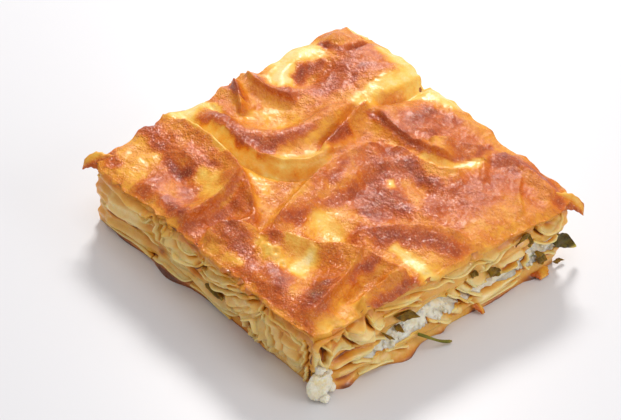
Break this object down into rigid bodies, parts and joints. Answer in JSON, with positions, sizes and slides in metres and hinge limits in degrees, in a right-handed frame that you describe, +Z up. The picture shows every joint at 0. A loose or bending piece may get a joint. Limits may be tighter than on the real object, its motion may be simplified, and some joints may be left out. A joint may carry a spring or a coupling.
{
  "type": "spinach and cheese pie slice",
  "caption": "Cut square of spinach and cheese pie: browned wrinkled crust over soft folded pastry, with crumbly white cheese and cooked leaves at the cut sides.",
  "frame": {"origin": "middle of the cut square's flat underside, on the surface that it rests on", "axes": "+Z up out of the crust; -Y out of the cut side with the folded pastry; +X out of the cut side that shows the cheese and the leaves"},
  "size_m": [0.1289, 0.1244, 0.0371],
  "materials": {
    "crust": "buttered, browned",
    "pastry": "soft, moist",
    "cheese": "crumbly, moist",
    "leaf": "cooked, moist"
  },
  "bodies": {
    "root": {"pastry_top": "crust", "pastry_base": "pastry", "cheese_filling": "cheese", "corner_curd": "cheese", "herb_stem": "leaf", "leaf_long": "leaf", "leaf_small": "leaf", "leaf_thin": "leaf", "leaf_dark": "leaf", "leaf_broad": "leaf", "leaf_curled": "leaf", "leaf_back": "leaf", "leaf_corner": "leaf", "leaf_foot": "leaf", "leaf_front": "leaf"}
  },
  "joints": []
}
